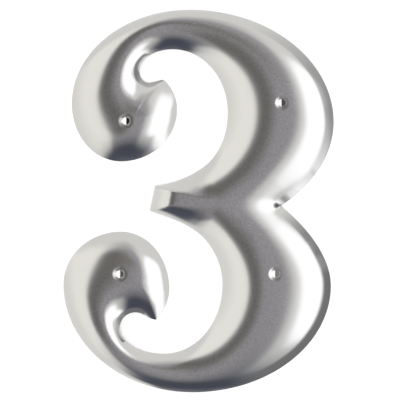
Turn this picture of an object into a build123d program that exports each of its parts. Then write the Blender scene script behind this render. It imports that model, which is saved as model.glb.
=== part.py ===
from build123d import *
import os
from math import atan2, degrees, radians, sin, tan
from typing import NamedTuple

# House number 3, pressed from one aluminium sheet: a rounded face, an open back and four nail holes.
# All sizes are in millimetres. It lies on the rim of its back: the origin is on the back plane, in the middle
# of the outline, +Z points out of the face and +Y to the top of the numeral.

# Overall size
digit_height = 75.0
digit_width = 53.0
sheet = 0.5

# Height of the crown line above the back plane: it sinks where the stroke narrows
bowl_rise = 4.5
waist_rise = 4.2
bar_rise = 4.2
upper_ball_rise = 4.5
lower_ball_rise = 4.1
upper_curl_rise = 4.05
lower_curl_rise = 3.95
crest_rise = 3.0
base_rise = 2.9

# Section of the face between an edge and the crown: share of the way in, share of the rise
skirt = (0.135, 0.385)
shoulder = (0.27, 0.915)
brow = (0.765, 1.0)

# Nail holes, each pierced through the bottom of a pressed dimple
nail_hole = 1.5
dimple_width = 3.0
dimple_depth = 0.19

# Headings, in degrees anticlockwise from +X
EAST, NORTH, WEST, SOUTH = 0, 90, 180, 270
PARALLEL = 1


def plan(x, y):
    """Offset on the plan, counted in hundredths of the numeral's height."""
    return Vector(x, y) * (digit_height / 100)


class Station(NamedTuple):
    """A place along a stroke: its crown on the drawing grid, the way it runs there, and its two edges.

    The edges are given by their offsets from the crown.
    """

    across: float
    up: float
    rise: float
    heading: float
    inner: Vector
    outer: Vector


# Stations of the two strokes, each from the ball of its curl round to the bowl. The grid counts hundredths of
# the crown line's own box: across from the lower curl to the upper bowl, up from the base to the crest.
upper_ball = Station(17.1, 72.4, upper_ball_rise, WEST, inner=plan(4.45, 10.45), outer=plan(-2.85, -10.2))
upper_curl = Station(8.0, 82.6, upper_curl_rise, NORTH, inner=plan(6.25, 4.2), outer=plan(-11.5, -4.4))
crest = Station(40.3, 100.0, crest_rise, EAST, inner=plan(-0.05, -5.85), outer=plan(4.45, 4.5))
upper_bowl = Station(100.0, 76.2, bowl_rise, SOUTH, inner=plan(-13.35, -0.9), outer=plan(14.4, -3.35))
lower_ball = Station(18.3, 26.9, lower_ball_rise, WEST, inner=plan(0.4, -8.55), outer=plan(-3.4, 12.6))
lower_curl = Station(0.0, 18.0, lower_curl_rise, SOUTH, inner=plan(4.9, -4.25), outer=plan(-9.95, 6.85))
base = Station(42.7, 0.0, base_rise, EAST, inner=plan(-3.45, 5.0), outer=plan(4.15, -5.1))
lower_bowl = Station(92.4, 24.8, bowl_rise, NORTH, inner=plan(-11.2, 0.65), outer=plan(17.2, 0.4))

# Waist, where the strokes meet between the bar and the notch: its place on the grid, the offsets of its edges
# from its crown, and the headings there
waist_place = (66.2, 49.0)
upper_armpit = plan(-3.9, 9.6)
upper_armpit_heading = 217
lower_armpit = plan(-4.05, -8.9)
lower_armpit_heading = 133
notch = plan(16.2, -0.6)
upper_notch_heading = 212
lower_notch_heading = 141
upper_crown_heading = 202.5
lower_crown_heading = 157.5

# Bar: its length along the crown, then the corners of its cut end and of the flat that opens along its top,
# from the end of the crown
bar_length = 8.25
bar_top = plan(-5.65, 4.65)
bar_top_heading = 186
bar_foot = plan(-7.05, -1.95)
bar_foot_heading = 163
flat_top = plan(-0.5, 2.9)
flat_foot = plan(-1.0, -0.4)

# Balls of the curls: the tip of the lip and the far side, from the top of the ball, and the way the edge
# leaves the tip
upper_tip = plan(8.4, 11.2)
upper_tip_heading = -44
upper_side = plan(11.85, 3.5)
lower_tip = plan(5.85, -10.45)
lower_tip_heading = 49
lower_side = plan(9.25, -2.45)
tip_share = 0.25  # share of the way in by which the shoulder stands back from a tip

# Nail holes, from the crowns of the stations they are next to
nails = [
    (upper_ball, plan(-1.4, 0.25)),
    (upper_bowl, plan(0.8, 1.55)),
    (lower_ball, plan(-3.55, 1.6)),
    (lower_bowl, plan(2.65, 3.55)),
]

# Box of the crown line, left inside the outline by the outer half of the stroke on each side
crown_left = -digit_width / 2 - lower_curl.outer.X
crown_right = digit_width / 2 - upper_bowl.outer.X
crown_bottom = -digit_height / 2 - base.outer.Y
crown_top = digit_height / 2 - crest.outer.Y

# The sheet is as thick along its sloping skirt as on the crown, so its cut edge on the back plane is wider
skirt_slope = atan2(skirt[1] * bowl_rise, -skirt[0] * upper_bowl.inner.X)
rim = sheet / sin(skirt_slope)


def grid(across, up):
    """Point of the drawing grid, in millimetres."""
    x = crown_left + (crown_right - crown_left) * across / 100
    y = crown_bottom + (crown_top - crown_bottom) * up / 100
    return Vector(x, y)


def crown_of(station):
    """Point of the crown line at a station, on the back plane."""
    return grid(station.across, station.up)


def way(heading):
    """Unit vector along a heading."""
    return Vector(1, 0).rotate(Axis.Z, heading)


def heading_of(vector):
    """Heading of a vector on the plan."""
    return degrees(atan2(vector.Y, vector.X))


def bend(start, leaving, end, arriving):
    """Control points of a curve from one point and heading to another.

    Each handle is that of an elliptical arc, a share of the way to where the two tangents cross. In an
    S-bend, where they don't cross ahead, it is a third of the chord.
    """
    chord = end - start
    first = way(leaving)
    last = way(arriving)
    reach = [chord.length / 3, chord.length / 3]
    crossing = first.cross(last).Z
    if abs(crossing) > sin(radians(PARALLEL)):
        turn = radians(first.get_angle(last))
        share = 4 / 3 * tan(turn / 4) / tan(turn / 2)
        ahead = [chord.cross(last).Z / crossing, first.cross(chord).Z / crossing]
        reach = [min(share * a, 2 * r) if a > 0 else r for a, r in zip(ahead, reach)]
    return [start, start + first * reach[0], end - last * reach[1], end]


class Rib(NamedTuple):
    """A section of the face from an edge up to the crown, and the headings of the curves that cross it."""

    edge: Vector
    crown: Vector
    rise: float
    edge_heading: float
    crown_heading: float
    shoulder_edge: Vector
    shoulder_heading: float
    brow_heading: float


def rib(edge, crown, rise, heading, **sharp):
    """A rib that all curves cross on one heading, apart from what is given by name."""
    smooth = Rib(edge, crown, rise, heading, heading, edge, heading, heading)
    return smooth._replace(**sharp)


def edge_ribs(stations, side):
    """The ribs on one side of a stroke, inner or outer."""
    ribs = []
    for station in stations:
        crown = crown_of(station)
        ribs.append(rib(crown + getattr(station, side), crown, station.rise, station.heading))
    return ribs


def strips(ribs):
    """Pairs of neighbouring ribs."""
    return list(zip(ribs, ribs[1:]))


def ball_strips(ball, tip, tip_heading, side, side_heading):
    """The end of a curl: the lip, its tip and the far side, all rising to the top of the ball."""
    top = crown_of(ball)
    tip_point = top + tip
    stood_back = tip_point + (top - tip_point) * tip_share
    smooth_tip = rib(tip_point, top, ball.rise, tip_heading / 2, shoulder_edge=stood_back)
    lip = rib(top + ball.inner, top, ball.rise, EAST)
    tip_in = smooth_tip._replace(edge_heading=EAST)
    tip_out = smooth_tip._replace(edge_heading=tip_heading)
    far_side = rib(top + side, top, ball.rise, side_heading)
    back = rib(top + ball.outer, top, ball.rise, WEST)
    return [(lip, tip_in), (tip_out, far_side), (far_side, back)]


def stroke_strips(stations, armpit, notch_edge, notch_shoulder, crown_heading):
    """Both sides of a stroke, from its ball to the waist."""
    inner = edge_ribs(stations, "inner")
    outer = edge_ribs(stations, "outer")
    smooth_notch = rib(waist + notch, waist, waist_rise, crown_heading)
    inner.append(armpit._replace(crown_heading=crown_heading))
    outer.append(smooth_notch._replace(edge_heading=notch_edge, shoulder_heading=notch_shoulder))
    return strips(inner) + strips(outer)


def bar_strips():
    """The bar's upper side, its lower side and its cut end, round the flat on its top."""
    end = waist + way(WEST) * bar_length
    top_crown = end + flat_top
    foot_crown = end + flat_foot
    top_line = heading_of(top_crown - waist)
    foot_line = heading_of(foot_crown - waist)
    cut = heading_of(bar_foot - bar_top)
    cut_line = heading_of(flat_foot - flat_top)
    upper = upper_armpit_rib._replace(crown_heading=top_line)
    lower = lower_armpit_rib._replace(crown_heading=foot_line)
    top_corner = rib(end + bar_top, top_crown, bar_rise, bar_top_heading, crown_heading=top_line)
    foot_corner = rib(end + bar_foot, foot_crown, bar_rise, bar_foot_heading, crown_heading=foot_line)
    cut_top = rib(end + bar_top, top_crown, bar_rise, cut, crown_heading=cut_line)
    cut_foot = rib(end + bar_foot, foot_crown, bar_rise, cut, crown_heading=cut_line)
    return (upper, top_corner), (lower, foot_corner), (cut_top, cut_foot)


def drawn_in(edge, crown, distance):
    """Control points of an edge, moved towards those of the crown."""
    return [e + (c - e).normalized() * distance for e, c in zip(edge, crown)]


def section_row(edge, crown, rises, inward, upward):
    """Control points at one level of the section, along a strip."""
    return [e + (c - e) * inward + Vector(0, 0, rise * upward) for e, c, rise in zip(edge, crown, rises)]


def control_net(first, last, edge_inset, lowering):
    """Control points of the skin between two ribs, row by row from the edge to the crown."""
    edge = bend(first.edge, first.edge_heading, last.edge, last.edge_heading)
    crown = bend(first.crown, first.crown_heading, last.crown, last.crown_heading)
    shoulder_edge = bend(
        first.shoulder_edge, first.shoulder_heading, last.shoulder_edge, last.shoulder_heading
    )
    brow_crown = bend(first.crown, first.brow_heading, last.crown, last.brow_heading)
    edge = drawn_in(edge, crown, edge_inset)
    shoulder_edge = drawn_in(shoulder_edge, brow_crown, edge_inset)
    rises = [rise - lowering for rise in (first.rise, first.rise, last.rise, last.rise)]
    return [
        section_row(edge, crown, rises, 0, 0),
        section_row(edge, crown, rises, *skirt),
        section_row(shoulder_edge, brow_crown, rises, *shoulder),
        section_row(shoulder_edge, brow_crown, rises, *brow),
        section_row(edge, crown, rises, 1, 1),
    ]


def skin(edge_inset, lowering):
    """All faces of one side of the sheet, and the wire of their edge on the back plane."""
    nets = [control_net(*strip, edge_inset, lowering) for strip in all_strips]
    bar_flat = [control_net(*strip, edge_inset, lowering)[-1] for strip in (bar_upper, bar_lower)]
    faces = [Face.make_bezier_surface(net) for net in nets + [bar_flat]]
    return faces, Wire([Edge.make_bezier(*net[0]) for net in nets])


def pierced(body, point):
    """The pressing with one nail hole: the sheet is dented, above and below alike, and pierced."""
    hits = body.find_intersection_points(Axis((point.X, point.Y, 0), (0, 0, 1)))
    crown_height = max(hit.Z for hit, normal in hits)
    hole_radius = nail_hole / 2
    flare = (dimple_width / 2 - hole_radius) / dimple_depth
    mouth_radius = dimple_width / 2 + flare * sheet
    mouth_height = dimple_depth + sheet
    bottom = Plane((point.X, point.Y, crown_height - dimple_depth))
    dent = Solid.make_cone(hole_radius, mouth_radius, mouth_height, bottom)
    bulge = Solid.make_cone(hole_radius, mouth_radius, mouth_height, bottom.offset(-sheet))
    hole = Solid.make_cylinder(hole_radius, sheet + mouth_height, bottom.offset(-2 * sheet))
    return body + (bulge & under_face) - dent - hole


waist = grid(*waist_place)
upper_armpit_rib = rib(waist + upper_armpit, waist, waist_rise, upper_armpit_heading)
lower_armpit_rib = rib(waist + lower_armpit, waist, waist_rise, lower_armpit_heading)

upper_stroke = [upper_ball, upper_curl, crest, upper_bowl]
lower_stroke = [lower_ball, lower_curl, base, lower_bowl]
all_strips = stroke_strips(upper_stroke, upper_armpit_rib, upper_notch_heading, SOUTH, upper_crown_heading)
all_strips += stroke_strips(lower_stroke, lower_armpit_rib, lower_notch_heading, NORTH, lower_crown_heading)
all_strips += ball_strips(upper_ball, upper_tip, upper_tip_heading, upper_side, SOUTH)
all_strips += ball_strips(lower_ball, lower_tip, lower_tip_heading, lower_side, NORTH)
bar_upper, bar_lower, bar_cut = bar_strips()
all_strips += [bar_upper, bar_lower, bar_cut]

face_skin, face_edge = skin(0, 0)
back_skin, back_edge = skin(rim, sheet)
numeral = Solid(Shell(face_skin + back_skin + [Face(face_edge, [back_edge])]))
under_face = Solid(Shell(face_skin + [Face(face_edge)]))
for station, from_crown in nails:
    numeral = pierced(numeral, crown_of(station) + from_crown)

os.makedirs("parts", exist_ok=True)
export_step(numeral, "parts/numeral.step")
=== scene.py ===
from functools import reduce
from math import comb
from typing import NamedTuple

import bmesh
import bpy
import numpy as np
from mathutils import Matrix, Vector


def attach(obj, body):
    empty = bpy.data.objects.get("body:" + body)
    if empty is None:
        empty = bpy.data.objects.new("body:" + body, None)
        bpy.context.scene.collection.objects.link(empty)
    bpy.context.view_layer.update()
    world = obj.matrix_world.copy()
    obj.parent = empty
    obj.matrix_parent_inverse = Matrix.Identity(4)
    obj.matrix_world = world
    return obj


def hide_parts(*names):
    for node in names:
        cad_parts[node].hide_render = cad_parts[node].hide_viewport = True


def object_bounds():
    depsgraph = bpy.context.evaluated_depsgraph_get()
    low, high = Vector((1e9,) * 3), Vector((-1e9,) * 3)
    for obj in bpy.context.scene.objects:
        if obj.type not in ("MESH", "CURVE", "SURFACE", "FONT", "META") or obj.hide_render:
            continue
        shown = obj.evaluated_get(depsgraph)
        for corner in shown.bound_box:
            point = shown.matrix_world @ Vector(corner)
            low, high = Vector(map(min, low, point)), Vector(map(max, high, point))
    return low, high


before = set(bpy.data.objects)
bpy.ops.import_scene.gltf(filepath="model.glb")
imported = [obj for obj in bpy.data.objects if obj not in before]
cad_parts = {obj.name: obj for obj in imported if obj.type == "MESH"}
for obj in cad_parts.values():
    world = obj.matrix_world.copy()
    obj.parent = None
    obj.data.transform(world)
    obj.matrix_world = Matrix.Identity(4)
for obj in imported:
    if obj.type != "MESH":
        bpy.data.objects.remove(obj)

bl_info = {
    "name": "Pressed House Numeral",
    "version": (1, 0, 0),
    "blender": (4, 5, 0),
    "location": "View3D > Sidebar > Numeral",
    "description": "Presses a house number 3 from aluminium sheet and lays it in a small studio",
    "category": "Add Mesh",
}

CAD_LOW, CAD_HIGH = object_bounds()
CAD_SIZE = CAD_HIGH - CAD_LOW


def length(name, description, default):
    """A size in metres."""
    return bpy.props.FloatProperty(
        name=name,
        description=description,
        default=default,
        min=0,
        precision=5,
        subtype="DISTANCE",
        unit="LENGTH",
    )


def share(name, description, default):
    """A number from 0 to 1."""
    return bpy.props.FloatProperty(
        name=name,
        description=description,
        default=default,
        min=0,
        max=1,
        precision=3,
        subtype="FACTOR",
    )


def colour(name, description, default):
    """A linear colour. A light's may be brighter than white."""
    return bpy.props.FloatVectorProperty(
        name=name,
        description=description,
        default=default,
        min=0,
        soft_max=1,
        size=3,
        subtype="COLOR",
    )


def tally(name, description, default):
    """A number of faces."""
    return bpy.props.IntProperty(name=name, description=description, default=default, min=4)


class NumeralSettings(bpy.types.PropertyGroup):
    """Sizes of the pressing."""

    height: length("Height", "Height of the numeral", CAD_SIZE.y)
    width: length("Width", "Width of the numeral", CAD_SIZE.x)
    sheet: length("Sheet", "Thickness of the sheet", 0.0005)
    bowl_rise: length("Bowl rise", "Height of the crown on both bowls", CAD_SIZE.z)
    waist_rise: length("Waist rise", "Height of the crown where the strokes meet", 0.0042)
    bar_rise: length("Bar rise", "Height of the crown at the end of the bar", 0.0042)
    upper_ball_rise: length("Upper ball rise", "Height of the upper curl's ball", 0.0045)
    lower_ball_rise: length("Lower ball rise", "Height of the lower curl's ball", 0.0041)
    upper_curl_rise: length("Upper curl rise", "Height of the crown round the upper curl", 0.00405)
    lower_curl_rise: length("Lower curl rise", "Height of the crown round the lower curl", 0.00395)
    crest_rise: length("Crest rise", "Height of the crown at the top of the numeral", 0.0030)
    base_rise: length("Base rise", "Height of the crown at the foot of the numeral", 0.0029)
    bar_length: length("Bar length", "Length of the bar's crown, from the waist", 0.00825)
    nail_hole: length("Nail hole", "Diameter of the nail holes", 0.0015)
    dimple_width: length("Dimple width", "Diameter of the dimple round a nail hole", 0.0030)
    dimple_depth: length("Dimple depth", "Depth of the dimple round a nail hole", 0.00019)
    edge_rounding: length("Edge rounding", "Radius left on the cut edges of the sheet", 0.00006)
    rows: tally("Rows", "Rows of faces from edge to crown", 26)
    columns: tally("Columns", "Faces along each strip", 40)


class FinishSettings(bpy.types.PropertyGroup):
    """Looks of the aluminium."""

    metal: colour("Metal", "Colour of the bright aluminium", (0.79, 0.79, 0.787))
    satin: colour("Satin", "Colour in the depth of the satin grain", (0.70, 0.70, 0.705))
    # The back's darker colour is partly its dull finish and partly painted shade for the closed
    # hollow
    back: colour("Back", "Colour of the dull back", (0.62, 0.62, 0.62))
    crown_roughness: share("Crown roughness", "Roughness of the satin crown", 0.165)
    skirt_roughness: share("Skirt roughness", "Roughness of the burnished skirt", 0.14)
    back_roughness: share("Back roughness", "Added roughness of the unpolished back", 0.25)
    grain_size: length("Grain size", "Size of the satin grain", 0.00045)
    grain_depth: length("Grain depth", "Depth of the satin grain", 0.0000012)
    wave_size: length("Wave size", "Size of the sheet's faint unevenness", 0.006)
    wave_depth: length("Wave depth", "Depth of the sheet's faint unevenness", 0.000012)
    scratch_width: length("Scratch width", "Width of the hairline scratches", 0.00016)
    scratch_patch: length("Scratch patch", "Size of the patches of scratches", 0.007)
    scratch: colour("Scratch", "Colour of the bright metal in a scratch", (0.97, 0.97, 0.97))
    # Painted shade: colour and reach of a dark spot painted in the point of the notch, for its
    # crease's shade
    painted_shade: colour("Painted shade", "Colour of the dirt in the notch", (0.06, 0.06, 0.062))
    painted_shade_size: length("Dirt size", "Reach of the dirt in the notch", 0.0008)


class StageSettings(bpy.types.PropertyGroup):
    """Studio round the numeral."""

    floor: colour("Floor", "Colour of the floor", (0.93, 0.93, 0.93))
    hollow: colour("Hollow", "Shadow on the ground under a nail hole", (0.09, 0.083, 0.078))
    daylight: colour("Daylight", "Even light on the floor", (1.45, 1.45, 1.45))
    backdrop: colour("Backdrop", "What the camera sees beyond the floor", (1.0, 1.0, 1.0))
    ceiling: colour("Ceiling", "Pale walls and ceiling, as mirrored", (0.764, 0.757, 0.734))
    window: colour("Window", "Warm window on the left", (0.955, 0.935, 0.88))
    transom: colour("Transom", "Edge of the ceiling over the dim space", (0.42, 0.41, 0.40))
    overhead: colour("Overhead", "Dim space straight above", (0.35, 0.339, 0.352))
    softbox: colour("Softbox", "White softbox on the right", (1.3, 1.3, 1.31))
    beam: colour("Beam", "Dark beam between window and dim space", (0.15, 0.142, 0.135))
    flag: colour("Flag", "Low dark cards close to the metal", (0.19, 0.19, 0.195))
    doorway: colour("Doorway", "Dark doorway below the foot", (0.069, 0.075, 0.098))
    field: length("Field", "Width of floor that the camera takes in", 0.07843)
    camera_height: length("Camera height", "Height of the camera above the floor", 0.6)


# Headings, in degrees anticlockwise from +X, and the angle within which two count as parallel
EAST, NORTH, WEST, SOUTH, FULL_TURN = 0, 90, 180, 270, 360
PARALLEL = 1


class Station(NamedTuple):
    """A place along a stroke: its crown on the drawing grid, and its two edges from the crown.

    The grid counts hundredths of the crown line's box. The edges' offsets, like all offsets
    below, count hundredths of the numeral's height.
    """

    across: float
    up: float
    rise: str
    heading: float
    inner: tuple
    outer: tuple


UPPER_STROKE = [
    Station(17.1, 72.4, "upper_ball_rise", WEST, inner=(4.45, 10.45), outer=(-2.85, -10.2)),
    Station(8.0, 82.6, "upper_curl_rise", NORTH, inner=(6.25, 4.2), outer=(-11.5, -4.4)),
    Station(40.3, 100.0, "crest_rise", EAST, inner=(-0.05, -5.85), outer=(4.45, 4.5)),
    Station(100.0, 76.2, "bowl_rise", SOUTH, inner=(-13.35, -0.9), outer=(14.4, -3.35)),
]
LOWER_STROKE = [
    Station(18.3, 26.9, "lower_ball_rise", WEST, inner=(0.4, -8.55), outer=(-3.4, 12.6)),
    Station(0.0, 18.0, "lower_curl_rise", SOUTH, inner=(4.9, -4.25), outer=(-9.95, 6.85)),
    Station(42.7, 0.0, "base_rise", EAST, inner=(-3.45, 5.0), outer=(4.15, -5.1)),
    Station(92.4, 24.8, "bowl_rise", NORTH, inner=(-11.2, 0.65), outer=(17.2, 0.4)),
]

# Waist: its place on the grid, the offsets of its edges, and the headings there
WAIST = (66.2, 49.0)
UPPER_ARMPIT, UPPER_ARMPIT_HEADING = (-3.9, 9.6), 217
LOWER_ARMPIT, LOWER_ARMPIT_HEADING = (-4.05, -8.9), 133
NOTCH, UPPER_NOTCH_HEADING, LOWER_NOTCH_HEADING = (16.2, -0.6), 212, 141
UPPER_CROWN_HEADING, LOWER_CROWN_HEADING = 202.5, 157.5

# Corners of the bar's cut end and of the flat on its top, from the end of its crown
BAR_TOP, BAR_TOP_HEADING = (-5.65, 4.65), 186
BAR_FOOT, BAR_FOOT_HEADING = (-7.05, -1.95), 163
FLAT_TOP, FLAT_FOOT = (-0.5, 2.9), (-1.0, -0.4)


class Ball(NamedTuple):
    """The ball of a curl: its lip's tip and its far side, from its top, with the edge's headings.

    The crease of the lip is drawn aside by the fullness.
    """

    tip: tuple
    tip_heading: float
    fullness: tuple
    side: tuple
    side_heading: float


UPPER_BALL = Ball((8.4, 11.2), -44, (0, 0), (11.85, 3.5), SOUTH)
LOWER_BALL = Ball((5.85, -10.45), 49, (3.5, 1.95), (9.25, -2.45), NORTH)

# Share of the way from a lip's tip to the top of the ball at which its shoulder starts
TIP_SHARE = 0.25

# Strips that end at the notch and at the tips of the lips, and the bar's two sides and cut end
NOTCH_STRIP, UPPER_TIP_STRIP, LOWER_TIP_STRIP = 7, 16, 19
BAR_SIDES, BAR_END = slice(-3, -1), -1

# Section of the face from an edge to the crown: share of the way in, share of the rise
SECTION = ((0, 0), (0.135, 0.385), (0.27, 0.915), (0.765, 1.0), (1, 1))

# Degrees of the curves: turned edges, lines along the strips, and the section
QUADRATIC, CUBIC, SECTION_DEGREE = 2, 3, len(SECTION) - 1

# Power that crowds the rows of faces towards the cut edge, and rows that round each of its corners
ROW_CROWDING = 1.25
CORNER_ROWS = 2

# Nail holes, from the crowns of the first and last stations of each stroke
NAIL_OFFSETS = [(-1.4, 0.25), (0.8, 1.55), (-3.55, 1.6), (2.65, 3.55)]

# Dimple of a nail hole: power of its funnel, and share by which it is deeper on its left
DIMPLE_POWER, DIMPLE_LEAN = 1.15, 0.5

# Collar of sheet round a dimple, in radii of the dimple: its outermost and innermost rows, the
# first row of the funnel, the reach of the skin that it is fitted to, and the seam left round it
COLLAR_OUTER, COLLAR_INNER, FUNNEL_START, FIT_REACH, SEAM = 1.45, 1.12, 1.06, 2.2, 0.2
COLLAR_ROWS, FUNNEL_ROWS, WALL_ROWS, COLLAR_SIDES = 4, 12, 4, 64
FIT_ORDER = 4

# Points closer than this are one, and open edges this many dimple widths from a nail are its seam's
MERGE_GAP = 1e-6
SEAM_REACH = 2

# Creases that come out soft, at the notch, the upper tip, the lower tip and the bar's end: share
# of the way from edge to crown, reach as a share of the numeral's height, and softness
SOFT_CREASES = ((0.4, 0.08, 0.25), (0.3, 0.06, 0.5), (0.3, 0.08, 0.5), (1.0, 0.08, 0.5))

# Rounds of easing on them, and share of the way to the crown over which the cut edge holds it off
PLANISH_ROUNDS = 50
EDGE_HOLD = 0.1


class Rib(NamedTuple):
    """A section of the face from an edge to the crown, and the headings of the curves across it."""

    edge: np.ndarray
    crown: np.ndarray
    rise: float
    edge_heading: float
    crown_heading: float
    shoulder_edge: np.ndarray
    shoulder_heading: float
    brow_heading: float


def rib(edge, crown, rise, heading, **sharp):
    """A rib that all curves cross on one heading, apart from what is given by name."""
    return Rib(edge, crown, rise, heading, heading, edge, heading, heading)._replace(**sharp)


def part_way(section, part):
    """Plan point a part of the way from a rib's edge to its crown."""
    return section.edge + (section.crown - section.edge) * part


def offset(size, hundredths):
    """Offsets in metres, from hundredths of the numeral's height."""
    return np.array(hundredths) * (size.height / 100)


def way(heading):
    """Unit vectors along headings."""
    angle = np.radians(heading)
    return np.stack((np.cos(angle), np.sin(angle)), axis=-1)


def round_turn(sides):
    """Unit vectors spread evenly over a full turn."""
    return way(np.linspace(0, FULL_TURN, sides, endpoint=False))


def heading_of(vector):
    """Heading of a plane vector."""
    return np.degrees(np.arctan2(vector[1], vector[0]))


def cross(a, b):
    """Cross product of two plane vectors."""
    return a[0] * b[1] - a[1] * b[0]


def bend(start, leaving, end, arriving):
    """Control points of a cubic curve from one point and heading to another.

    Each handle is that of an elliptical arc, 4/3 tan(turn/4) / tan(turn/2) of the way to where the
    tangents cross, and at most two thirds of the chord. In an S-bend it is a third of the chord.
    """
    chord = end - start
    third = np.hypot(*chord) / 3
    first, last = way(leaving), way(arriving)
    reach = [third, third]
    crossing = cross(first, last)
    if abs(crossing) > np.sin(np.radians(PARALLEL)):
        turn = np.arctan2(abs(crossing), first @ last)
        part = 4 / 3 * np.tan(turn / 4) / np.tan(turn / 2)
        ahead = cross(chord, last) / crossing, cross(first, chord) / crossing
        reach = [min(part * a, 2 * third) if a > 0 else third for a in ahead]
    return np.array((start, start + first * reach[0], end - last * reach[1], end))


def stroke_strips(size, crowns, stations, waist, armpit, notch_edge, notch_shoulder, crown_heading):
    """Pairs of ribs along both sides of a stroke, from its ball to the waist."""
    inner, outer = [], []
    for crown, station in zip(crowns, stations):
        rise = getattr(size, station.rise)
        inner.append(rib(crown + offset(size, station.inner), crown, rise, station.heading))
        outer.append(rib(crown + offset(size, station.outer), crown, rise, station.heading))
    notch = rib(waist + offset(size, NOTCH), waist, size.waist_rise, crown_heading)
    inner.append(armpit._replace(crown_heading=crown_heading))
    outer.append(notch._replace(edge_heading=notch_edge, shoulder_heading=notch_shoulder))
    return list(zip(inner, inner[1:])) + list(zip(outer, outer[1:]))


def ball_strips(size, crown, station, ball):
    """Pairs of ribs round the end of a curl: the lip, its tip and the far side, all to one top."""
    rise = getattr(size, station.rise)
    tip = crown + offset(size, ball.tip)
    stood_back = tip + (crown - tip) * TIP_SHARE + offset(size, ball.fullness)
    smooth_tip = rib(tip, crown, rise, ball.tip_heading / 2, shoulder_edge=stood_back)
    lip = rib(crown + offset(size, station.inner), crown, rise, EAST)
    far_side = rib(crown + offset(size, ball.side), crown, rise, ball.side_heading)
    back = rib(crown + offset(size, station.outer), crown, rise, WEST)
    tip_in = smooth_tip._replace(edge_heading=EAST)
    tip_out = smooth_tip._replace(edge_heading=ball.tip_heading)
    return [(lip, tip_in), (tip_out, far_side), (far_side, back)]


def bar_strips(size, waist, upper_armpit, lower_armpit):
    """Pairs of ribs along the bar's two sides and across its cut end, round the flat on its top."""
    end = waist + way(WEST) * size.bar_length
    top, foot = end + offset(size, (BAR_TOP, BAR_FOOT))
    top_crown, foot_crown = end + offset(size, (FLAT_TOP, FLAT_FOOT))
    top_line, foot_line = heading_of(top_crown - waist), heading_of(foot_crown - waist)
    cut, cut_line = heading_of(foot - top), heading_of(foot_crown - top_crown)
    return [
        (
            upper_armpit._replace(crown_heading=top_line),
            rib(top, top_crown, size.bar_rise, BAR_TOP_HEADING, crown_heading=top_line),
        ),
        (
            lower_armpit._replace(crown_heading=foot_line),
            rib(foot, foot_crown, size.bar_rise, BAR_FOOT_HEADING, crown_heading=foot_line),
        ),
        (
            rib(top, top_crown, size.bar_rise, cut, crown_heading=cut_line),
            rib(foot, foot_crown, size.bar_rise, cut, crown_heading=cut_line),
        ),
    ]


def numeral_strips(size):
    """All pairs of ribs of the numeral, and the places of its nail holes.

    The crown line's box is what the outermost edges of the outermost stations leave of the
    numeral's own box.
    """
    half = np.array((size.width, size.height)) / 2
    low = -half - offset(size, (LOWER_STROKE[1].outer[0], LOWER_STROKE[2].outer[1]))
    high = half - offset(size, (UPPER_STROKE[3].outer[0], UPPER_STROKE[2].outer[1]))
    upper = [low + (high - low) * (s.across / 100, s.up / 100) for s in UPPER_STROKE]
    lower = [low + (high - low) * (s.across / 100, s.up / 100) for s in LOWER_STROKE]
    waist = low + (high - low) * np.array(WAIST) / 100
    upper_armpit = rib(
        waist + offset(size, UPPER_ARMPIT), waist, size.waist_rise, UPPER_ARMPIT_HEADING
    )
    lower_armpit = rib(
        waist + offset(size, LOWER_ARMPIT), waist, size.waist_rise, LOWER_ARMPIT_HEADING
    )
    strips = [
        *stroke_strips(
            size, upper, UPPER_STROKE, waist, upper_armpit,
            UPPER_NOTCH_HEADING, SOUTH, UPPER_CROWN_HEADING,
        ),
        *stroke_strips(
            size, lower, LOWER_STROKE, waist, lower_armpit,
            LOWER_NOTCH_HEADING, NORTH, LOWER_CROWN_HEADING,
        ),
        *ball_strips(size, upper[0], UPPER_STROKE[0], UPPER_BALL),
        *ball_strips(size, lower[0], LOWER_STROKE[0], LOWER_BALL),
        *bar_strips(size, waist, upper_armpit, lower_armpit),
    ]
    nails = np.array((upper[0], upper[3], lower[0], lower[3])) + offset(size, NAIL_OFFSETS)
    return strips, nails


def control_nets(strips, edge_inset, lowering):
    """Control points of one skin of the sheet: strip by level of the section by place along it.

    Each point stands on the line from the edge's control point to the crown's, at the section's
    share of the way and of the rise. The edge is drawn in towards the crown by the inset, and the
    rise is lowered.
    """
    nets = []
    for first, last in strips:
        edge = bend(first.edge, first.edge_heading, last.edge, last.edge_heading)
        crown = bend(first.crown, first.crown_heading, last.crown, last.crown_heading)
        shoulder_edge = bend(
            first.shoulder_edge, first.shoulder_heading, last.shoulder_edge, last.shoulder_heading
        )
        brow_crown = bend(first.crown, first.brow_heading, last.crown, last.brow_heading)
        edges = np.array((edge, edge, shoulder_edge, shoulder_edge, edge))
        crowns = np.array((crown, crown, brow_crown, brow_crown, crown))
        inward = crowns - edges
        edges = edges + inward / np.linalg.norm(inward, axis=-1, keepdims=True) * edge_inset
        rises = np.array((first.rise, first.rise, last.rise, last.rise)) - lowering
        levels = np.array(SECTION)
        plan = edges + (crowns - edges) * levels[:, :1, None]
        nets.append(np.dstack((plan, levels[:, 1:] * rises)))
    return np.array(nets)


def bernstein(degree, t):
    """Bernstein polynomials of a degree at the parameters t, one column for each."""
    terms = [comb(degree, i) * t**i * (1 - t) ** (degree - i) for i in range(degree + 1)]
    return np.stack(terms, axis=-1)


def patches(nets, across, along):
    """Points of the tensor-product Bezier patches at parameters across and along the strips."""
    weights = bernstein(SECTION_DEGREE, across), bernstein(CUBIC, along)
    return np.einsum("ri,cj,sijk->srck", *weights, nets)


def rounded_corner(before, corner, after):
    """Rows that turn a corner: the quadratic Bezier curve with the corner as its middle point."""
    t = np.linspace(0, 1, CORNER_ROWS + 2)[1:-1]
    return np.einsum("ri,iscx->srcx", bernstein(QUADRATIC, t), np.array((before, corner, after)))


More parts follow.
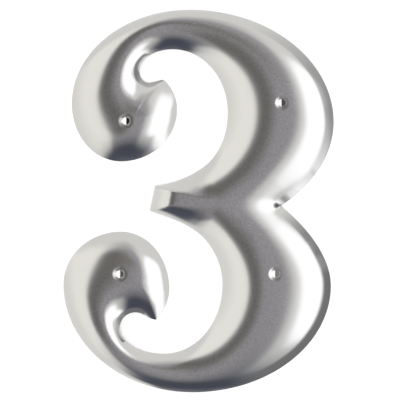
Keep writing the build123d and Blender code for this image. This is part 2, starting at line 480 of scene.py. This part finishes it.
def sheet_surface(strips, size):
    """The sheet as one grid for each strip: down the face to the cut edge, across it, up the back.

    Returns the points, strip by row by column, and for each row its share of the way from edge to
    crown and whether it is on the back.
    """
    skirt_in, skirt_up = SECTION[1]
    skirt_run = -skirt_in * offset(size, UPPER_STROKE[3].inner)[0]
    rim = size.sheet / np.sin(np.arctan2(skirt_up * size.bowl_rise, skirt_run))
    face_nets = control_nets(strips, 0, 0)
    back_nets = control_nets(strips, rim, size.sheet)
    along = np.linspace(0, 1, size.columns + 1)
    start = size.edge_rounding / (SECTION_DEGREE * skirt_up * size.bowl_rise)
    across = start + (1 - start) * np.linspace(0, 1, size.rows + 1) ** ROW_CROWDING
    face = patches(face_nets, across, along)
    back = patches(back_nets, across, along)
    face_corner = patches(face_nets, np.zeros(1), along)[:, 0]
    back_corner = patches(back_nets, np.zeros(1), along)[:, 0]
    inward = back_corner - face_corner
    inward = inward / np.linalg.norm(inward, axis=-1, keepdims=True)
    under_face = face_corner + inward * size.edge_rounding
    under_back = back_corner - inward * size.edge_rounding
    edge = [
        rounded_corner(face[:, 0], face_corner, under_face),
        under_face[:, None],
        under_back[:, None],
        rounded_corner(under_back, back_corner, back[:, 0]),
    ]
    points = np.concatenate((face[:, ::-1], *edge, back), axis=1)
    edge_rows = points.shape[1] - 2 * len(across)
    crown_share = np.concatenate((across[::-1], np.zeros(edge_rows), across))
    on_back = np.repeat((0.0, 1.0), len(crown_share) // 2)
    return points, crown_share, on_back


def bar_flats(strips, size):
    """The flat on the bar's top, on face and back: straight lines between its sides' crowns."""
    t = np.linspace(0, 1, size.columns + 1)
    flats = []
    for lowering in (0, size.sheet):
        upper, lower = bernstein(CUBIC, t) @ control_nets(strips[BAR_SIDES], 0, lowering)[:, -1]
        flats.append(upper + (lower - upper) * t[:, None, None])
    return flats


def fit_terms(plan):
    """Products x^i y^j up to the order of the fit, one column for each."""
    x, y = plan[..., 0], plan[..., 1]
    powers = range(FIT_ORDER + 1)
    return np.stack([x**i * y**j for i in powers for j in powers if i + j <= FIT_ORDER], axis=-1)


def height_near(points, nail, reach):
    """Height of a skin near a nail hole: the polynomial surface that fits its points there best."""
    plan = (points[:, :2] - nail) / reach
    near = np.hypot(plan[:, 0], plan[:, 1]) < 1
    terms = np.linalg.lstsq(fit_terms(plan[near]), points[near, 2], rcond=None)[0]
    return lambda place: fit_terms((place - nail) / reach) @ terms


def nail_collar(face_points, back_points, nail, size):
    """The sheet round one nail hole, as a profile turned about the hole's axis.

    From a ring on the face the profile runs in, down the funnel of the dimple, through the hole and
    out along the back to a ring there. The funnel sinks from the skin by the dimple's depth times a
    power of the way from its rim to the hole, and leans to be deeper on the left.
    """
    hole = size.nail_hole / 2
    mouth = size.dimple_width / 2
    lip = size.edge_rounding / 2
    level = mouth * np.linspace(COLLAR_OUTER, COLLAR_INNER, COLLAR_ROWS)
    funnel = np.linspace(mouth * FUNNEL_START, hole + 2 * lip, FUNNEL_ROWS)
    radii = np.concatenate((level, funnel, (hole + lip,)))
    spokes = round_turn(COLLAR_SIDES)
    plan = nail + radii[:, None, None] * spokes
    face_height = height_near(face_points, nail, FIT_REACH * mouth)
    back_height = height_near(back_points, nail, FIT_REACH * mouth)
    way_in = np.clip((mouth - radii) / (mouth - hole), 0, 1) ** DIMPLE_POWER
    sunk = size.dimple_depth * way_in[:, None] * (1 - DIMPLE_LEAN * spokes[:, 0])
    above = np.minimum(face_height(plan), face_points[:, 2].max()) - sunk
    below = back_height(plan) - sunk
    drop = np.linspace(lip, size.sheet - lip, WALL_ROWS)[:, None]
    wall_plan = np.broadcast_to(nail + hole * spokes, (WALL_ROWS, COLLAR_SIDES, 2))
    wall = np.dstack((wall_plan, above[-1:] - drop))
    return np.concatenate((np.dstack((plan, above)), wall, np.dstack((plan, below))[::-1]))


def grid_quads(rows, columns, closed):
    """Corner indices of a grid's quads, row by row. A closed grid's last column meets its first."""
    index = np.arange(rows * columns).reshape(rows, columns)
    following = np.roll(index, -1, axis=1) if closed else index[:, 1:]
    here = index if closed else index[:, :-1]
    quads = np.stack((here[:-1], following[:-1], following[1:], here[1:]), axis=-1)
    return quads.reshape(-1, 4)


class Sheet(NamedTuple):
    """Vertices and quads, and each vertex's share of the way to the crown and side of the sheet."""

    vertices: np.ndarray
    quads: np.ndarray
    crown: np.ndarray
    back: np.ndarray


def gridded(points, crown, back, closed=False):
    """A grid of points as a piece of the sheet, with crown and back for each row or for all."""
    rows, columns, _ = points.shape
    return Sheet(
        points.reshape(-1, 3),
        grid_quads(rows, columns, closed),
        np.repeat(np.broadcast_to(crown, rows), columns),
        np.repeat(np.broadcast_to(back, rows), columns),
    )


def joined(parts):
    """Pieces of the sheet as one, with each one's quads counted on from the vertices before it."""
    starts = np.cumsum([0] + [len(part.vertices) for part in parts])
    quads = [part.quads + start for part, start in zip(parts, starts)]
    vertices, _, crown, back = zip(*parts)
    return Sheet(*(np.concatenate(arrays) for arrays in (vertices, quads, crown, back)))


def pressed_sheet(size):
    """The whole sheet, with an open seam round the nails' collars, and the places of the nails."""
    strips, nails = numeral_strips(size)
    grids, crown, back = sheet_surface(strips, size)
    flats = zip(bar_flats(strips, size), (0.0, 1.0))
    sheet = joined(
        [gridded(grid, crown, back) for grid in grids]
        + [gridded(flat, 1.0, side) for flat, side in flats]
    )
    skins = sheet.vertices[sheet.back < 0.5], sheet.vertices[sheet.back > 0.5]
    quads = sheet.quads
    collars = []
    for nail in nails:
        collar = nail_collar(*skins, nail, size)
        behind = np.arange(len(collar)) >= len(collar) / 2
        collars.append(gridded(collar, 1.0, behind, closed=True))
        away = np.hypot(*(sheet.vertices[:, :2] - nail).T)
        near = away < size.dimple_width / 2 * (COLLAR_OUTER + SEAM)
        quads = quads[~near[quads].any(axis=1)]
    whole = joined([sheet._replace(quads=quads), *collars])
    used, corners = np.unique(whole.quads, return_inverse=True)
    kept = Sheet(
        whole.vertices[used], corners.reshape(-1, 4), whole.crown[used], whole.back[used]
    )
    return kept, nails


def soft_places(size):
    """Where the die's creases come out soft: the plan point, reach and softness of each."""
    strips, _ = numeral_strips(size)
    creases = [strips[i][1:] for i in (NOTCH_STRIP, UPPER_TIP_STRIP, LOWER_TIP_STRIP)]
    creases.append(strips[BAR_END])
    return [
        (np.mean([part_way(end, part) for end in ribs], axis=0), reach * size.height, softness)
        for ribs, (part, reach, softness) in zip(creases, SOFT_CREASES)
    ]


def planish(mesh, places):
    """Ease the mesh near some places: each round moves a vertex part way to its neighbours' mean.

    The part is the place's softness, falls to nothing at its reach, and is nothing on the cut edge.
    """
    points = np.empty((len(mesh.vertices), 3), dtype=np.float32)
    mesh.vertices.foreach_get("co", points.ravel())
    ends = np.empty((len(mesh.edges), 2), dtype=np.int32)
    mesh.edges.foreach_get("vertices", ends.ravel())
    crown = np.empty(len(points), dtype=np.float32)
    mesh.attributes["crown"].data.foreach_get("value", crown)
    part = np.zeros(len(points))
    for place, reach, softness in places:
        away = np.linalg.norm(points[:, :2] - place, axis=1) / reach
        part = np.maximum(part, softness * np.clip(1 - away**2, 0, 1))
    part *= np.clip(crown / EDGE_HOLD, 0, 1)
    near, far = np.concatenate((ends, ends[:, ::-1])).T
    valence = np.bincount(near, minlength=len(points))
    for _ in range(PLANISH_ROUNDS):
        sums = [np.bincount(near, points[far, axis], len(points)) for axis in range(3)]
        mean = np.stack(sums, axis=-1) / valence[:, None]
        points = points + (mean - points) * part[:, None]
    mesh.vertices.foreach_set("co", points.astype(np.float32).ravel())
    mesh.update()


def set_values(mesh, name, values):
    """Give each vertex of a mesh a number, as an attribute."""
    attribute = mesh.attributes.new(name, "FLOAT", "POINT")
    attribute.data.foreach_set("value", values.astype(np.float32).ravel())


def numeral_mesh(size):
    """The pressing as one closed mesh, with its crown share and back share as attributes."""
    sheet, nails = pressed_sheet(size)
    mesh = bpy.data.meshes.new("pressed_numeral")
    mesh.from_pydata(sheet.vertices, [], sheet.quads)
    set_values(mesh, "crown", sheet.crown)
    set_values(mesh, "back", sheet.back)
    shape = bmesh.new()
    shape.from_mesh(mesh)
    bmesh.ops.remove_doubles(shape, verts=shape.verts, dist=MERGE_GAP)
    back = shape.verts.layers.float["back"]
    open_edges = [edge for edge in shape.edges if edge.is_boundary]
    reach = SEAM_REACH * size.dimple_width
    for x, y in nails:
        for side in (0, 1):
            seam = [
                edge for edge in open_edges
                if round(edge.verts[0][back]) == side
                and np.hypot(edge.verts[0].co.x - x, edge.verts[0].co.y - y) < reach
            ]
            bmesh.ops.triangle_fill(shape, edges=seam, normal=(0, 0, 1), use_beauty=True)
    bmesh.ops.recalc_face_normals(shape, faces=shape.faces)
    still_open = sum(1 for edge in shape.edges if not edge.is_manifold)
    shape.to_mesh(mesh)
    shape.free()
    if still_open:
        raise RuntimeError(f"the pressing has {still_open} open edges")
    planish(mesh, soft_places(size))
    mesh.shade_smooth()
    return mesh


# Roughness of all noises, from one octave to the next
NOISE_ROUGHNESS = 0.6


class NodeBench:
    """Adds nodes to a tree, each with its inputs linked or set."""

    def __init__(self, tree):
        self.tree = tree
        tree.nodes.clear()

    def add(self, kind, inputs=None, **settings):
        """A node with its settings, and its inputs by name or index, each linked or set."""
        node = self.tree.nodes.new(kind)
        for name, value in settings.items():
            setattr(node, name, value)
        for key, value in (inputs or {}).items():
            if isinstance(value, bpy.types.NodeSocket):
                self.tree.links.new(value, node.inputs[key])
            else:
                node.inputs[key].default_value = value
        return node

    def attribute(self, name):
        """A number that the mesh carries at its vertices."""
        return self.add("ShaderNodeAttribute", attribute_name=name).outputs["Fac"]

    def math(self, operation, a, b=0.0, c=0.0):
        """Result of a Math node."""
        return self.add("ShaderNodeMath", {0: a, 1: b, 2: c}, operation=operation).outputs[0]

    def product(self, *factors):
        """Product of numbers."""
        return reduce(lambda a, b: self.math("MULTIPLY", a, b), factors)

    def vector(self, operation, a, b=(0, 0, 0), scale=1.0):
        """Result of a Vector Math node: a number for products, lengths and distances."""
        node = self.add("ShaderNodeVectorMath", {0: a, 1: b, 3: scale}, operation=operation)
        is_number = operation in {"DOT_PRODUCT", "LENGTH", "DISTANCE"}
        return node.outputs["Value" if is_number else "Vector"]

    def noise(self, vector, size, detail):
        """Value of a noise whose features have a size in metres."""
        inputs = {
            "Vector": vector, "Scale": 1 / size, "Detail": detail, "Roughness": NOISE_ROUGHNESS
        }
        return self.add("ShaderNodeTexNoise", inputs).outputs["Fac"]

    def mix(self, part, a, b):
        """Colour a turned into colour b by a part from 0 to 1, on the node's colour sockets."""
        return self.add("ShaderNodeMix", {0: part, 6: a, 7: b}, data_type="RGBA").outputs[2]

    def ramp(self, value, low, high, start=0.0, end=1.0):
        """A value eased from start to end as it goes from low to high."""
        inputs = {
            "Value": value, "From Min": low, "From Max": high, "To Min": start, "To Max": end
        }
        node = self.add("ShaderNodeMapRange", inputs, interpolation_type="SMOOTHSTEP")
        return node.outputs["Result"]


def blank_material(name):
    """A new material, and the bench for its empty node tree."""
    material = bpy.data.materials.new(name)
    material.use_nodes = True
    return material, NodeBench(material.node_tree)


# Noise levels between which the grain, the scratches and their patches come up
GRAIN_LEVELS, SCRATCH_LEVELS, PATCH_LEVELS = (0.42, 0.68), (0.64, 0.72), (0.58, 0.66)

# Shares of the way from edge to crown between which the satin and its roughness come up
SATIN_SHARES, ROUGH_SHARES = (0.55, 0.85), (0.25, 0.6)

# Scratches: turn about +Z in radians, and scale along them that draws them out
SCRATCH_TURN, SCRATCH_SCALE = 0.6, 0.12

# Painted shade in the point of the notch, where the deep crease lies in shade: share of the way
# from the notch's point to its crown, strength, and share of its reach that has it all
PAINTED_SHADE_SHARE, PAINTED_SHADE_STRENGTH, PAINTED_SHADE_CORE = 0.075, 0.9, 1 / 3


def satin_aluminium(finish, painted_shade_place):
    """Bare aluminium sheet: satin on the crown, burnished down the skirt and dull on the back.

    The crown has fine scratches in patches, and painted shade darkens the point of the notch.
    """
    material, bench = blank_material("satin_aluminium")
    place = bench.add("ShaderNodeTexCoord").outputs["Object"]
    crown = bench.attribute("crown")
    back = bench.attribute("back")
    grain = bench.noise(place, finish.grain_size, detail=3.0)
    wave = bench.noise(place, finish.wave_size, detail=1.0)
    streaks = bench.add(
        "ShaderNodeMapping",
        {"Vector": place, "Rotation": (0, 0, SCRATCH_TURN), "Scale": (SCRATCH_SCALE, 1, 1)},
    )
    hairs = bench.noise(streaks.outputs["Vector"], finish.scratch_width, detail=1.0)
    scratch = bench.ramp(hairs, *SCRATCH_LEVELS)
    patch = bench.ramp(bench.noise(place, finish.scratch_patch, detail=0.0), *PATCH_LEVELS)
    on_crown = bench.ramp(crown, *SATIN_SHARES)
    worn = bench.ramp(crown, *ROUGH_SHARES, finish.skirt_roughness, finish.crown_roughness)
    mottled = bench.product(bench.ramp(grain, *GRAIN_LEVELS), on_crown)
    front = bench.mix(mottled, (*finish.metal, 1.0), (*finish.satin, 1.0))
    scuffed = bench.product(scratch, patch, on_crown)
    front = bench.mix(scuffed, front, (*finish.scratch, 1.0))
    # Painted shade: the point of the notch is darkened to stand in for the shade in its deep crease
    gap = bench.vector("DISTANCE", bench.vector("MULTIPLY", place, (1, 1, 0)), (*painted_shade_place, 0))
    core = finish.painted_shade_size * PAINTED_SHADE_CORE
    in_painted_shade = bench.ramp(gap, core, finish.painted_shade_size, PAINTED_SHADE_STRENGTH, 0.0)
    front = bench.mix(in_painted_shade, front, (*finish.painted_shade, 1.0))
    uneven = bench.add(
        "ShaderNodeBump", {"Height": wave, "Distance": finish.wave_depth, "Strength": 1.0}
    )
    satin = bench.add(
        "ShaderNodeBump",
        {
            "Height": bench.product(grain, on_crown),
            "Distance": finish.grain_depth,
            "Strength": 1.0,
            "Normal": uneven.outputs["Normal"],
        },
    )
    dulled = bench.ramp(back, 0.0, 1.0, 0.0, finish.back_roughness)
    shader = bench.add(
        "ShaderNodeBsdfPrincipled",
        {
            # Back darker: partly its dull finish, partly painted shade for the closed hollow under
            # the sheet
            "Base Color": bench.mix(back, front, (*finish.back, 1.0)),
            "Metallic": 1.0,
            "Roughness": bench.math("ADD", worn, dulled),
            "Normal": satin.outputs["Normal"],
        },
    )
    bench.add("ShaderNodeOutputMaterial", {"Surface": shader.outputs["BSDF"]})
    return material


class NUMERAL_OT_press(bpy.types.Operator):
    """Press the numeral from sheet, in place of the plain solid"""

    bl_idname = "numeral.press"
    bl_label = "Press Numeral"

    def execute(self, context):
        size = context.scene.numeral_size
        mesh = numeral_mesh(size)
        strips, _ = numeral_strips(size)
        # Place of the painted shade at the point of the notch
        painted_shade_place = part_way(strips[NOTCH_STRIP][1], PAINTED_SHADE_SHARE)
        mesh.materials.append(satin_aluminium(context.scene.numeral_finish, painted_shade_place))
        numeral = bpy.data.objects.new("pressed_numeral", mesh)
        context.scene.collection.objects.link(numeral)
        # The metal mirrors the studio alone, not itself
        numeral.visible_glossy = False
        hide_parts("numeral")
        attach(numeral, "root")
        return {"FINISHED"}


class Strip(NamedTuple):
    """A soft-edged strip of the studio from one place to another.

    Places are in degrees of the tilt at which level metal mirrors them upwards. The strip is whole
    out to `near` and gone beyond `near + soft`, and its colour changes to `fade` times itself along
    the way.
    """

    colour: str
    start: tuple
    end: tuple
    near: float
    soft: float
    fade: float


STUDIO = [
    Strip("window", (-30, -2), (-50, -9), near=30, soft=12, fade=0.87),
    Strip("transom", (-1, 22), (1, 27), near=2, soft=14, fade=1.2),
    Strip("overhead", (-0.5, 14), (-5, -70), near=9.3, soft=5.8, fade=0.71),
    Strip("softbox", (27.6, 13), (27.4, -13), near=8.5, soft=5.5, fade=1.0),
    Strip("softbox", (37, 12), (37, -10), near=7, soft=8, fade=1.0),
    Strip("softbox", (37, -10), (40, -40), near=6, soft=8, fade=1.0),
    Strip("beam", (-6, 17), (-8.5, -6), near=1, soft=8, fade=1.0),
    Strip("beam", (-6, 14), (1, 11.5), near=0, soft=8, fade=1.5),
    Strip("doorway", (0.7, -40), (13.3, -52), near=4, soft=30, fade=1.2),
    Strip("doorway", (0.7, -40), (-14, -54), near=3, soft=15, fade=1.2),
]

# Least length of a level direction, so that straight up has a place on the plan too
LEAST_REACH = 0.0001


def studio_world(stage):
    """Light of the studio: white to the camera, daylight on the floor, and strips to the metal.

    A direction is placed on the studio's plan by the tilt of the surface that mirrors it straight
    up: along (x, y), at the arctangent of |(x, y)| / (1 + z) in degrees. A strip shows by the
    distance from that place to the nearest point of the strip's line.
    """
    world = bpy.data.worlds.new("studio")
    world.use_nodes = True
    bench = NodeBench(world.node_tree)
    ray = bench.add("ShaderNodeTexCoord").outputs["Generated"]
    level = bench.vector("MULTIPLY", ray, (1, 1, 0))
    reach = bench.math("MAXIMUM", bench.vector("LENGTH", level), LEAST_REACH)
    depth = bench.math("ADD", bench.vector("DOT_PRODUCT", ray, (0, 0, 1)), 1.0)
    tilt = bench.math("DEGREES", bench.math("ARCTAN2", reach, depth))
    place = bench.vector("SCALE", level, scale=bench.math("DIVIDE", tilt, reach))
    seen = (*stage.ceiling, 1.0)
    for strip in STUDIO:
        run = np.subtract(strip.end, strip.start)
        from_start = bench.vector("SUBTRACT", place, (*strip.start, 0))
        along = bench.vector("DOT_PRODUCT", from_start, (*run / (run @ run), 0))
        part = bench.add("ShaderNodeClamp", {"Value": along}).outputs["Result"]
        nearest = bench.vector("SCALE", (*run, 0), scale=part)
        gap = bench.vector("DISTANCE", from_start, nearest)
        inside = bench.ramp(gap, strip.near, strip.near + strip.soft, 1.0, 0.0)
        fade = bench.math("MULTIPLY_ADD", part, strip.fade - 1, 1.0)
        tint = bench.vector("SCALE", getattr(stage, strip.colour), scale=fade)
        seen = bench.mix(inside, seen, tint)
    path = bench.add("ShaderNodeLightPath")
    lit = bench.mix(path.outputs["Is Diffuse Ray"], seen, (*stage.daylight, 1.0))
    shown = bench.mix(path.outputs["Is Camera Ray"], lit, (*stage.backdrop, 1.0))
    light = bench.add("ShaderNodeBackground", {"Color": shown, "Strength": 1.0})
    bench.add("ShaderNodeOutputWorld", {"Surface": light.outputs["Background"]})
    return world


def from_above(bench, surface):
    """End a material in a surface seen only from above, so that the back shows from below."""
    clear = bench.add("ShaderNodeBsdfTransparent").outputs["BSDF"]
    below = bench.add("ShaderNodeNewGeometry").outputs["Backfacing"]
    mix = bench.add("ShaderNodeMixShader", {0: below, 1: surface, 2: clear})
    bench.add("ShaderNodeOutputMaterial", {"Surface": mix.outputs["Shader"]})


def matt_floor(stage):
    """Plain matt floor."""
    material, bench = blank_material("floor")
    matt = bench.add("ShaderNodeBsdfDiffuse", {"Color": (*stage.floor, 1.0)})
    from_above(bench, matt.outputs["BSDF"])
    return material


# Edge of the shadow under a nail hole, in radii of the ground to the right of the hole's axis
SHADOW_EDGE = (-0.1, 0.02)


def shaded_ground(stage):
    """Ground under a nail hole: lit on its left and in shadow on its right."""
    material, bench = blank_material("shaded_ground")
    shadow = bench.vector("SCALE", stage.hollow, scale=bench.attribute("shade"))
    in_shadow = bench.ramp(bench.attribute("across"), *SHADOW_EDGE)
    tint = bench.mix(in_shadow, (*stage.backdrop, 1.0), shadow)
    glow = bench.add("ShaderNodeEmission", {"Color": tint})
    from_above(bench, glow.outputs["Emission"])
    return material


def laid_ground(name, outlines, level, material, **values):
    """Flat faces with the given outlines, laid level, with values at their corners."""
    count, corners, _ = outlines.shape
    points = np.dstack((outlines, np.full((count, corners), level)))
    faces = np.arange(count * corners).reshape(count, corners)
    mesh = bpy.data.meshes.new(name)
    mesh.from_pydata(points.reshape(-1, 3), [], faces)
    for key, value in values.items():
        set_values(mesh, key, np.broadcast_to(value, (count, corners)))
    mesh.materials.append(material)
    ground = bpy.data.objects.new(name, mesh)
    ground.visible_glossy = False
    return ground


class Card(NamedTuple):
    """A low dark card on a circle's arc, facing its middle, for the metal near it to mirror.

    It fades out between the heights `fade` and `top`, and with the distance of the metal between
    the two lengths of `sight`. `cover` pairs headings along the arc with how much it covers there.
    Its places and lengths are in metres.
    """

    middle: tuple
    radius: float
    foot: float
    fade: float
    top: float
    sight: tuple
    cover: tuple


UPPER_BOWL_CARD = Card(
    (0.008, 0.019), 0.030, foot=-0.014, fade=0.0022, top=0.0055, sight=(0.016, 0.020),
    cover=(
        (-52, 0), (-44, 0.3), (-39, 0.25), (-19, 0.6), (0, 0.75), (28, 0.6), (52, 0.3), (75, 0)
    ),
)
LOWER_BOWL_CARD = Card(
    (0.008, -0.015), 0.030, foot=-0.014, fade=0.0022, top=0.0055, sight=(0.015, 0.019),
    cover=((-90, 0), (-70, 1), (6, 1), (16, 0.8), (28, 0)),
)
LOWER_SHOULDER_CARD = Card(
    (0.014, -0.012), 0.0135, foot=-0.004, fade=0.0018, top=0.0029, sight=(0.006, 0.009),
    cover=((0, 0), (15, 0.9), (30, 0.8), (50, 0.6), (68, 0)),
)
NOTCH_CARD = Card(
    (0.017, 0.0015), 0.003, foot=-0.004, fade=0.001, top=0.003, sight=(0.006, 0.009),
    cover=((-88, 0), (-72, 0.7), (-58, 0.6), (-42, 0)),
)
UPPER_CURL_CARD = Card(
    (-0.0100, 0.0240), 0.003, foot=-0.004, fade=-0.0002, top=0.0008, sight=(0.006, 0.009),
    cover=((-20, 0), (0, 0.9), (30, 0.9), (50, 0.5), (90, 0.5), (115, 0)),
)
LOWER_CURL_CARD = Card(
    (-0.0148, -0.0238), 0.003, foot=-0.004, fade=-0.0002, top=0.0008, sight=(0.006, 0.009),
    cover=((-75, 0), (-55, 0.9), (-25, 0.9), (0, 0)),
)
CARDS = (
    UPPER_BOWL_CARD,
    LOWER_BOWL_CARD,
    LOWER_SHOULDER_CARD,
    NOTCH_CARD,
    UPPER_CURL_CARD,
    LOWER_CURL_CARD,
)
CARD_FACES = 96


def faded_card(card, stage):
    """Dark to the near metal in front of it, and clear beyond its fade, its sight and its cover."""
    material, bench = blank_material("faded_card")
    place = bench.add("ShaderNodeTexCoord").outputs["Object"]
    rise = bench.vector("DOT_PRODUCT", place, (0, 0, 1))
    low = bench.ramp(rise, card.fade, card.top, 1.0, 0.0)
    distance = bench.add("ShaderNodeLightPath").outputs["Ray Length"]
    near = bench.ramp(distance, *card.sight, 1.0, 0.0)
    behind = bench.add("ShaderNodeNewGeometry").outputs["Backfacing"]
    front = bench.math("SUBTRACT", 1.0, behind)
    seen = bench.product(near, front, low, bench.attribute("cover"))
    clear = bench.add("ShaderNodeBsdfTransparent").outputs["BSDF"]
    glow = bench.add("ShaderNodeEmission", {"Color": (*stage.flag, 1.0)}).outputs["Emission"]
    mix = bench.add("ShaderNodeMixShader", {0: seen, 1: clear, 2: glow})
    bench.add("ShaderNodeOutputMaterial", {"Surface": mix.outputs["Shader"]})
    return material


def low_card(card, stage):
    """A card as a mesh: its arc drawn straight down from its top to its foot."""
    known, cover = np.array(card.cover).T
    headings = np.linspace(known[0], known[-1], CARD_FACES + 1)
    arc = card.middle + card.radius * way(headings)
    rows = [np.column_stack((arc, np.full(len(arc), level))) for level in (card.top, card.foot)]
    mesh = bpy.data.meshes.new("card")
    mesh.from_pydata(np.concatenate(rows), [], grid_quads(len(rows), len(arc), False))
    set_values(mesh, "cover", np.tile(np.interp(headings, known, cover), len(rows)))
    mesh.materials.append(faded_card(card, stage))
    standing = bpy.data.objects.new("card", mesh)
    standing.visible_camera = False
    standing.visible_diffuse = False
    standing.visible_shadow = False
    return standing


# Depth of the floor below the cut edge, and its reach
FLOOR_DROP = 0.00005
FLOOR_REACH = 1.5

# Brightness of the shadow under each nail hole, as a share of the stage's colour for it, and
# sides of the round ground there
HOLLOW_SHADES = (0.25, 0.9, 1.0, 2.2)
HOLLOW_SIDES = 32

# Plan point straight below the camera
CENTRE = (0.000265, 0.000206)


class NUMERAL_OT_stage(bpy.types.Operator):
    """Lay the floor, light the studio and set the camera straight above the numeral"""

    bl_idname = "numeral.stage"
    bl_label = "Lay Stage"

    def execute(self, context):
        scene = context.scene
        stage = scene.numeral_stage
        square = FLOOR_REACH * np.array(((-1, -1), (1, -1), (1, 1), (-1, 1)))
        floor = laid_ground("floor", square[None], -FLOOR_DROP, matt_floor(stage))
        _, nails = numeral_strips(scene.numeral_size)
        spokes = round_turn(HOLLOW_SIDES)
        hollows = laid_ground(
            "hollows",
            nails[:, None] + scene.numeral_size.nail_hole * spokes,
            -FLOOR_DROP / 2,
            shaded_ground(stage),
            across=spokes[:, 0],
            shade=np.array(HOLLOW_SHADES)[:, None],
        )
        for prop in (floor, hollows, *(low_card(card, stage) for card in CARDS)):
            scene.collection.objects.link(prop)
        scene.world = studio_world(stage)
        lens = bpy.data.cameras.new("camera")
        lens.lens = lens.sensor_width * stage.camera_height / stage.field
        camera = bpy.data.objects.new("camera", lens)
        camera.location = (*CENTRE, stage.camera_height)
        scene.collection.objects.link(camera)
        scene.camera = camera
        scene.view_settings.view_transform = "Standard"
        return {"FINISHED"}


class NUMERAL_PT_sidebar(bpy.types.Panel):
    """Sizes, finish and stage of the numeral"""

    bl_label = "House Numeral"
    bl_idname = "NUMERAL_PT_sidebar"
    bl_space_type = "VIEW_3D"
    bl_region_type = "UI"
    bl_category = "Numeral"

    def draw(self, context):
        for operator, group in (
            ("numeral.press", context.scene.numeral_size),
            (None, context.scene.numeral_finish),
            ("numeral.stage", context.scene.numeral_stage),
        ):
            box = self.layout.box()
            for name in group.__annotations__:
                box.prop(group, name)
            if operator:
                box.operator(operator)


CLASSES = (
    NumeralSettings,
    FinishSettings,
    StageSettings,
    NUMERAL_OT_press,
    NUMERAL_OT_stage,
    NUMERAL_PT_sidebar,
)


def register():
    """Register the classes, and give each scene its settings."""
    for cls in CLASSES:
        bpy.utils.register_class(cls)
    bpy.types.Scene.numeral_size = bpy.props.PointerProperty(type=NumeralSettings)
    bpy.types.Scene.numeral_finish = bpy.props.PointerProperty(type=FinishSettings)
    bpy.types.Scene.numeral_stage = bpy.props.PointerProperty(type=StageSettings)


def unregister():
    """Take the settings and the classes away again."""
    del bpy.types.Scene.numeral_stage
    del bpy.types.Scene.numeral_finish
    del bpy.types.Scene.numeral_size
    for cls in reversed(CLASSES):
        bpy.utils.unregister_class(cls)


def main():
    """Register the settings, press the numeral and lay the stage."""
    register()
    bpy.ops.numeral.press()
    bpy.ops.numeral.stage()


if __name__ == "__main__":
    main()
